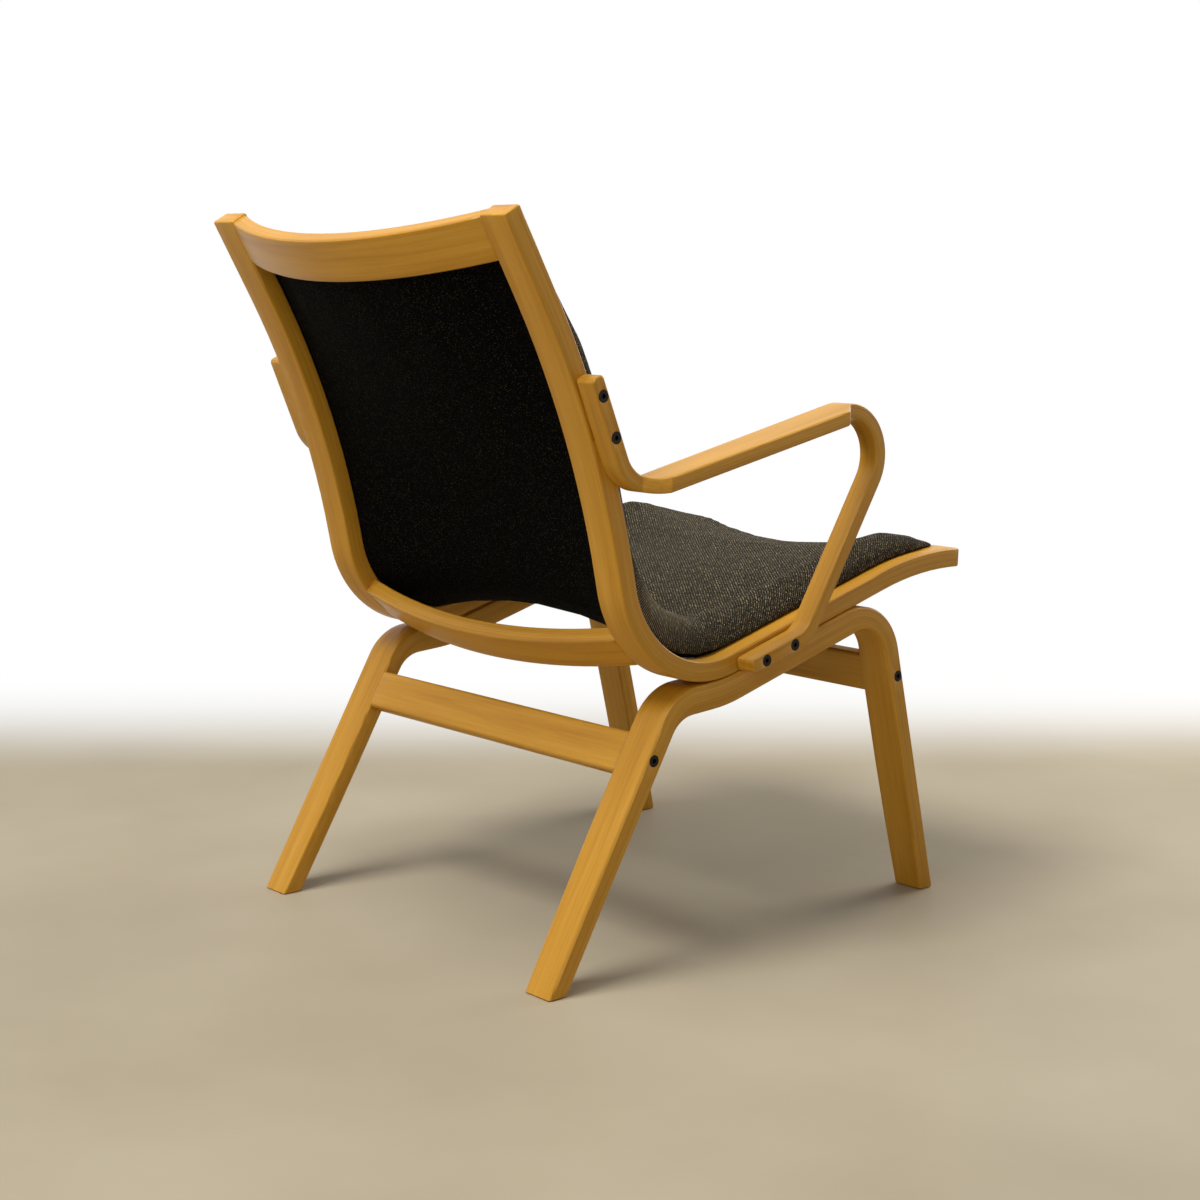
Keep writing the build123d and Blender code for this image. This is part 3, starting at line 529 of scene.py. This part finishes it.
def rail_side(points):
    """Metres along the side rail for each point, height over its face, and the way out of that face."""
    along, deep = along_and_deep(rail_route, points[:, 1], points[:, 2])
    near = np.clip(np.searchsorted(rail_route[:, GONE], along), 0, len(rail_route) - 1)
    return along, -deep, rail_route[near][:, SIDE]


def rises(value, start, over):
    """0 up to start, and from there up to 1 over the given length."""
    return np.clip((value - start) / over, 0, 1)


def falls(value, end, over):
    """1 at first, and then down to 0 at end, over the given length."""
    return np.clip((end - value) / over, 0, 1)


def eased(share):
    """The same share from 0 to 1, with a soft start and a soft end."""
    return share * share * (3 - 2 * share)


def raise_skin(points, out, amount):
    """Moves points out from the rail's face by an amount each, or in where it is negative."""
    points[:, 1:3] += out * amount[:, None]


pad_material = charcoal_wool()

# Below, along is metres from the rail's top end, height is over the rail's face, edge is |x| and
# to_end is metres left to the rail's front end. A rise or fall is given as its place and length.
lap, bulge, hollow, run_out = 0.0024, 0.020, 0.004, 0.018  # how far the skin is moved at most

# the coarse net is evened out in the middle, and then swells a little under the foam's pressure
coarse = even_skin("pad_form", NET)
drawn = points_of(coarse)
along, height, out = rail_side(drawn)
bent = rises(along, 0.40, 0.05) * falls(along, 0.66, 0.10)
middle = falls(np.abs(drawn[:, 0]), 0.215 + 0.016 * bent, 0.03)
middle *= falls(along, RAIL_END - 0.075, 0.03)
middle *= rises(along, 0.07, 0.03)
broad = coarse.vertex_groups.new(name="broad")
for i in np.nonzero(middle > 0.02)[0]:
    broad.add([int(i)], float(middle[i]), "REPLACE")
smooth_out(coarse, 60, "broad")
formed = points_of(coarse)

# the cover starts slack, held at its underside, and is blown out like a pillow
slack_by, most_swell, steps = 0.0015, 0.0035, 20
normals = np.array([v.normal for v in coarse.data.vertices], float)
facing = normals[:, 1] * out[:, 0] + normals[:, 2] * out[:, 1]
slack = formed - normals * slack_by
set_points(coarse, slack)
held = coarse.vertex_groups.new(name="held")
held.add([int(i) for i in np.nonzero(facing < -0.35)[0]], 1.0, "REPLACE")
cloth = coarse.modifiers.new("cloth", "CLOTH")
cloth.settings.quality = 5
cloth.settings.mass = 0.3
cloth.settings.tension_stiffness = 18
cloth.settings.compression_stiffness = 18
cloth.settings.bending_stiffness = 0.4
cloth.settings.vertex_group_mass = "held"
cloth.settings.use_pressure = True
cloth.settings.uniform_pressure_force = 4.0
cloth.settings.effector_weights.gravity = 0.0
cloth.collision_settings.use_collision = False
cloth.point_cache.frame_start = 1
cloth.point_cache.frame_end = steps
for number in range(1, steps + 1):
    bpy.context.scene.frame_set(number)
swell = np.array([v.co for v in from_object(coarse).vertices], float) - slack
coarse.modifiers.clear()
bpy.context.scene.frame_set(1)
size = np.linalg.norm(swell, axis=1)
swell *= np.minimum(1.0, most_swell / np.maximum(size, 1e-9))[:, None]
formed = slack + swell

# the fine net takes over the coarse one's change of form, less so at the thin front end
pad = even_skin("upholstered_pad", FINE_NET)
fine = points_of(pad)
along, height, out = rail_side(fine)
to_end = RAIL_END - along
drawn_points = KDTree(len(drawn))
for number, point in enumerate(drawn):
    drawn_points.insert(point, number)
drawn_points.balance()
change = formed - drawn
moved = np.zeros_like(fine)
for number, point in enumerate(fine):
    near = drawn_points.find_n(point, 4)
    weights = np.array([1 / (distance + 0.001) for _, _, distance in near])
    changes = change[[index for _, index, _ in near]]
    moved[number] = (changes * weights[:, None]).sum(axis=0) / weights.sum()
fine += moved * falls(along, RAIL_END - 0.026, 0.02)[:, None]
edge = np.abs(fine[:, 0])

# its lower side edges and its thin front edge lie down over the edge of the back cloth
low = (1 - rises(height, 0.003, 0.012)) * rises(edge, 0.234, 0.006)
low = np.maximum(low, falls(to_end, 0.036, 0.008))
raise_skin(fine, out, low * -lap)

# its side rolls are thin at the top of the back and full at the small of the back
places = (0.0, 0.085, 0.107, 0.130, 0.153, 0.170, 0.190, 0.230, 0.400, 0.460)
swells = (-0.007, -0.0060, -0.0030, -0.0008, 0.0018, 0.0038, 0.0044, 0.0042, 0.0036, 0.0)
fuller = np.interp(along, places, swells)
fuller *= np.where(fuller > 0, rises(edge, 0.10, 0.12), rises(edge, 0.205, 0.025))
raise_skin(fine, out, fuller * rises(height, 0, 0.02))

# round the bend its sides stand up full, and toward the front its middle is sat lower
up = eased(rises(along, 0.38, 0.09) * falls(along, 0.69, 0.15))
up = up * eased(rises(edge, 0.14, 0.08)) * rises(height, 0, 0.028)
raise_skin(fine, out, up * bulge)
sat = falls(to_end, 0.24, 0.10) * falls(edge, 0.215, 0.06) * rises(height, 0, 0.02)
raise_skin(fine, out, sat * -hollow)

# its front end runs out long and thin
nose = falls(to_end, 0.052, 0.028) ** 2
lower = nose * 0.5 + falls(to_end, 0.14, 0.08) * 0.05
raise_skin(fine, out, -np.clip(height, 0, None) * lower)
reach = falls(to_end, 0.110, 0.086) ** 2 * 0.005 + nose * run_out
fine[:, 1] -= out[:, 1] * reach
fine[:, 2] += out[:, 0] * reach

set_points(pad, fine)
smooth_out(pad, 3)
bpy.data.objects.remove(coarse)
pad.data.materials.clear()
pad.data.materials.append(pad_material)
pad.data.shade_smooth()
weave_on(pad)

# a painted highlight along the ridge of the bend's sides, and gathers below the ridge whose folds are drawn
# partly as painted shade
ridge, ridge_width = 0.225, 0.022
fine = points_of(pad)
along, height, out = rail_side(fine)
edge = np.abs(fine[:, 0])
painted_highlight = np.exp(-((edge - ridge) / ridge_width) ** 2) * rises(along, 0.42, 0.05) * falls(along, 0.61, 0.12)
gather_and_shade = rises(edge, 0.234, 0.008) * (rises(along, 0.405, 0.05) * falls(along, 0.64, 0.12))
for name, values in (("painted_highlight", painted_highlight), ("gather_and_shade", gather_and_shade)):
    pad.data.attributes.new(name, "FLOAT", "POINT").data.foreach_set("value", values.astype(np.float32))
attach(pad, "root")
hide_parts("seat_pad")


# ---------------------------------------------------------------- back cloth
# A sheet of plain black backing cloth, stretched over the side rails behind the pad and
# sewn to its underside. It hangs in a shallow curve between the rails.

def black_backing():
    """Thin plain-woven black lining cloth, dull, with small flecks of paler fibre all over."""
    material, tree = new_material("black_backing")
    weave = add(tree, "ShaderNodeAttribute", attribute_name="weave").outputs["Vector"]
    part = add(tree, "ShaderNodeSeparateXYZ", {0: weave})
    # threads 1 mm apart both ways
    thread_gap = 0.001
    warp_angle = add(tree, "ShaderNodeMath", {
        0: part.outputs["X"], 1: 2 * pi / thread_gap}, operation="MULTIPLY")
    weft_angle = add(tree, "ShaderNodeMath", {
        0: part.outputs["Y"], 1: 2 * pi / thread_gap}, operation="MULTIPLY")
    warp = add(tree, "ShaderNodeMath", {0: warp_angle.outputs[0]}, operation="SINE")
    weft = add(tree, "ShaderNodeMath", {0: weft_angle.outputs[0]}, operation="SINE")
    relief = add(tree, "ShaderNodeMath", {0: warp.outputs[0], 1: weft.outputs[0]}, operation="MULTIPLY")
    # points 1.3 mm apart, of which two in five are a dull pale, green or blue grey fleck
    fleck = add(tree, "ShaderNodeTexVoronoi", {
        "Vector": weave, "Scale": 760.0, "Randomness": 0.9}, feature="F1")
    pick = add(tree, "ShaderNodeSeparateColor", {0: fleck.outputs["Color"]})
    fleck_tone = add(tree, "ShaderNodeValToRGB", {0: pick.outputs[0]})
    fleck_tone.color_ramp.interpolation = "CONSTANT"
    shades(fleck_tone, [(0.0, "#050303"), (0.62, "#25231A"), (0.80, "#48442F"),
                        (0.90, "#20371F"), (0.95, "#2A2C36")])
    spot = add(tree, "ShaderNodeMapRange", {
        "Value": fleck.outputs["Distance"], "From Min": 0.22, "From Max": 0.5, "To Min": 1.0, "To Max": 0.0})
    tone = add(tree, "ShaderNodeMix", {
        "Factor": spot.outputs[0], 6: colour("#040303"), 7: fleck_tone.outputs[0]}, data_type="RGBA")
    lift = add(tree, "ShaderNodeBump", {"Height": relief.outputs[0], "Strength": 0.4, "Distance": 0.0002})
    shader = add(tree, "ShaderNodeBsdfPrincipled", {
        "Base Color": tone.outputs[2], "Roughness": 1.0, "IOR": 1.45,
        "Specular IOR Level": 0.05, "Normal": lift.outputs[0]})
    add(tree, "ShaderNodeOutputMaterial", {0: shader.outputs[0]})
    return material


cloth_mesh = merged("back_cloth")
split_long_edges(cloth_mesh, longest=0.03)
back_sheet = object_from(cloth_mesh, "back_cloth_twill")
back_sheet.data.shade_smooth()
back_sheet.data.set_sharp_from_angle(angle=radians(50))
back_sheet.data.materials.append(black_backing())
weave_on(back_sheet)
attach(back_sheet, "root")
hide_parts("back_cloth")


# ---------------------------------------------------------------- floor, lights and camera
# A plain pale floor that fades to white, a large soft lamp above on the left of the view,
# weaker ones behind and in front of the chair, and an even white room.

def to_the_eye(tree):
    """1 for what the camera sees, straight or by way of gloss or glass, and 0 for other light."""
    eye = add(tree, "ShaderNodeLightPath")
    seen = add(tree, "ShaderNodeMath", {
        0: eye.outputs["Is Camera Ray"], 1: eye.outputs["Is Glossy Ray"]}, operation="MAXIMUM")
    return add(tree, "ShaderNodeMath", {
        0: seen.outputs[0], 1: eye.outputs["Is Transmission Ray"]}, operation="MAXIMUM").outputs[0]


floor_mesh = bmesh.new()
bmesh.ops.create_circle(floor_mesh, cap_ends=True, segments=96, radius=7.0)
floor = object_from(floor_mesh, "floor")
floor_material, tree = new_material("pale_floor")
spot = add(tree, "ShaderNodeTexCoord").outputs["Object"]
mottle = add(tree, "ShaderNodeTexNoise", {"Vector": spot, "Scale": 3.0, "Detail": 4.0})
stone = add(tree, "ShaderNodeValToRGB", {0: mottle.outputs[0]})
shades(stone, [(0.3, "#AA9F89"), (0.7, "#B5AB95")])
# it fades to white toward the far side of the photograph's floor, and far out all round
far_side = (0.752, -0.659, 0.0)
behind = add(tree, "ShaderNodeVectorMath", {0: spot, 1: far_side}, operation="DOT_PRODUCT")
behind_fade = add(tree, "ShaderNodeMapRange", {
    "Value": behind.outputs["Value"], "From Min": 0.62, "From Max": 1.35}, interpolation_type="SMOOTHSTEP")
from_chair = add(tree, "ShaderNodeVectorMath", {0: spot}, operation="LENGTH")
wide_fade = add(tree, "ShaderNodeMapRange", {
    "Value": from_chair.outputs["Value"], "From Min": 1.7, "From Max": 3.0}, interpolation_type="SMOOTHSTEP")
fade = add(tree, "ShaderNodeMath", {0: behind_fade.outputs[0], 1: wide_fade.outputs[0]}, operation="MAXIMUM")
paint = add(tree, "ShaderNodeMix", {
    "Factor": fade.outputs[0], 6: stone.outputs[0], 7: colour("#F4F3F0")}, data_type="RGBA")
dull = add(tree, "ShaderNodeBsdfPrincipled", {
    "Base Color": paint.outputs[2], "Roughness": 0.6, "Specular IOR Level": 0.2})
white = add(tree, "ShaderNodeEmission", {"Color": (1, 1, 1, 1), "Strength": 1.0})
share = add(tree, "ShaderNodeMath", {0: to_the_eye(tree), 1: fade.outputs[0]}, operation="MULTIPLY")
mixed = add(tree, "ShaderNodeMixShader", {0: share.outputs[0], 1: dull.outputs[0], 2: white.outputs[0]})
add(tree, "ShaderNodeOutputMaterial", {0: mixed.outputs[0]})
floor.data.materials.append(floor_material)

world = bpy.data.worlds.new("white_room")
world.use_nodes = True
bpy.context.scene.world = world
tree = world.node_tree
tree.nodes.clear()
room = add(tree, "ShaderNodeBackground", {"Color": (1.0, 0.985, 0.95, 1), "Strength": 0.17})
plain = add(tree, "ShaderNodeBackground", {"Color": (1, 1, 1, 1), "Strength": 1.0})
mixed = add(tree, "ShaderNodeMixShader", {0: to_the_eye(tree), 1: room.outputs[0], 2: plain.outputs[0]})
add(tree, "ShaderNodeOutputWorld", {0: mixed.outputs[0]})


def soft_lamp(name, place, aim, size, power, tint):
    lamp = bpy.data.lights.new(name, "AREA")
    lamp.shape = "DISK"
    lamp.size = size
    lamp.energy = power
    lamp.color = tint
    holder = bpy.data.objects.new(name, lamp)
    bpy.context.scene.collection.objects.link(holder)
    holder.location = place
    holder.rotation_mode = "QUATERNION"
    holder.rotation_quaternion = (Vector(aim) - Vector(place)).to_track_quat("-Z", "Y")


warm, warmer = (1.0, 0.975, 0.935), (1.0, 0.96, 0.9)
soft_lamp("main_lamp", place=(0.15, 1.4, 3.3), aim=(0, 0, 0.35), size=1.7, power=101, tint=warm)
soft_lamp("back_lamp", place=(-1.3, 2.4, 1.6), aim=(0, 0, 0.45), size=1.6, power=15, tint=warmer)
soft_lamp("front_lamp", place=(-0.2, -2.3, 1.5), aim=(0, 0, 0.4), size=1.6, power=32, tint=warmer)

# the camera's place, the way it looks and its slight roll, as solved from the photograph
eye_place = (-1.9043, 1.6406, 0.7737)
eye_way = (0.7426, -0.6501, -0.1611)
roll = radians(-0.23)
eye_data = bpy.data.cameras.new("viewpoint")
eye_data.sensor_width = 36.0
eye_data.lens = 63.33
eye_data.clip_end = 50
viewpoint = bpy.data.objects.new("viewpoint", eye_data)
bpy.context.scene.collection.objects.link(viewpoint)
ahead = Vector(eye_way).normalized()
right = ahead.cross(Vector((0, 0, 1))).normalized()
above = right.cross(ahead)
right_rolled = right * cos(roll) + above * sin(roll)
above_rolled = above * cos(roll) - right * sin(roll)
turn = Matrix((right_rolled, above_rolled, -ahead)).transposed()
viewpoint.matrix_world = Matrix.Translation(eye_place) @ turn.to_4x4()
bpy.context.scene.camera = viewpoint

bpy.context.scene.view_settings.view_transform = "Standard"
